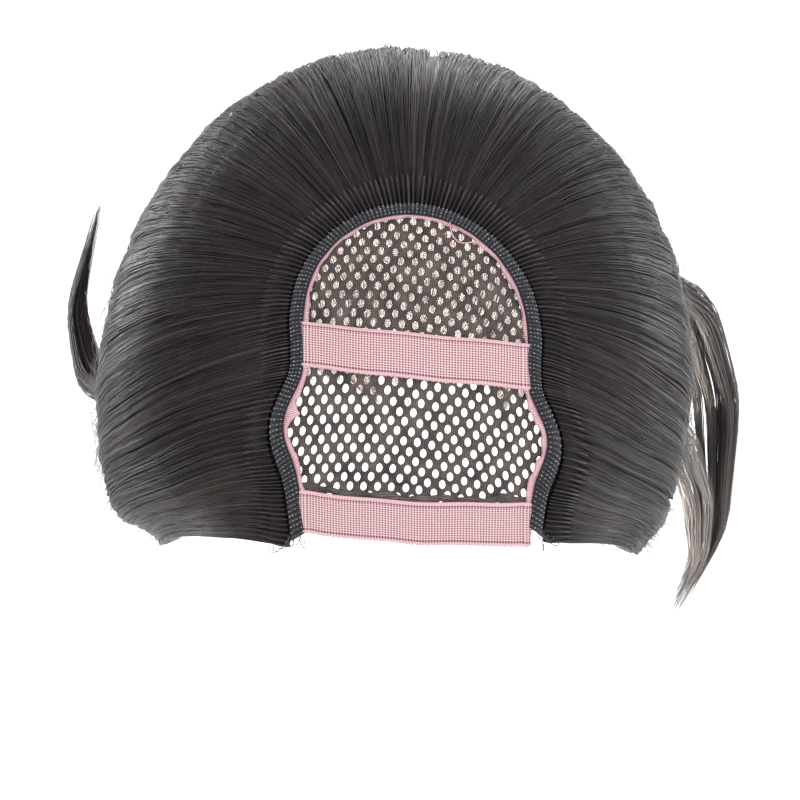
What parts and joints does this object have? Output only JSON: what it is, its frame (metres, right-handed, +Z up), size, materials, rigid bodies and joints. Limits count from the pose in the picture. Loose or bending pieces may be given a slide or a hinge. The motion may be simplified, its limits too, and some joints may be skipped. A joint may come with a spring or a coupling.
{
  "type": "half wig",
  "caption": "Half wig of long dark straight hair on a net cap with a bound horseshoe opening, crossed by elastic bands and edged with a stitched weft.",
  "frame": {"origin": "the highest point of the head form that the wig is fitted to, on the inside of the cap, where a head or a wig stand holds it", "axes": "+Z up, -Y forward to the face side, +X to the right in the picture"},
  "size_m": [0.2463, 0.2019, 0.3483],
  "materials": {
    "net": "black knitted net",
    "tape": "pale pink folded tape",
    "elastic": "pale pink woven elastic",
    "weft": "dark stitched weft",
    "hair": "near-black brown hair, sleek with a soft shine"
  },
  "bodies": {
    "root": {"net_cap": "net", "edge_binding": "tape", "middle_band": "elastic", "front_band": "elastic", "edge_weft": "weft", "hair_left": "hair", "hair_back": "hair", "hair_right": "hair"}
  },
  "joints": []
}
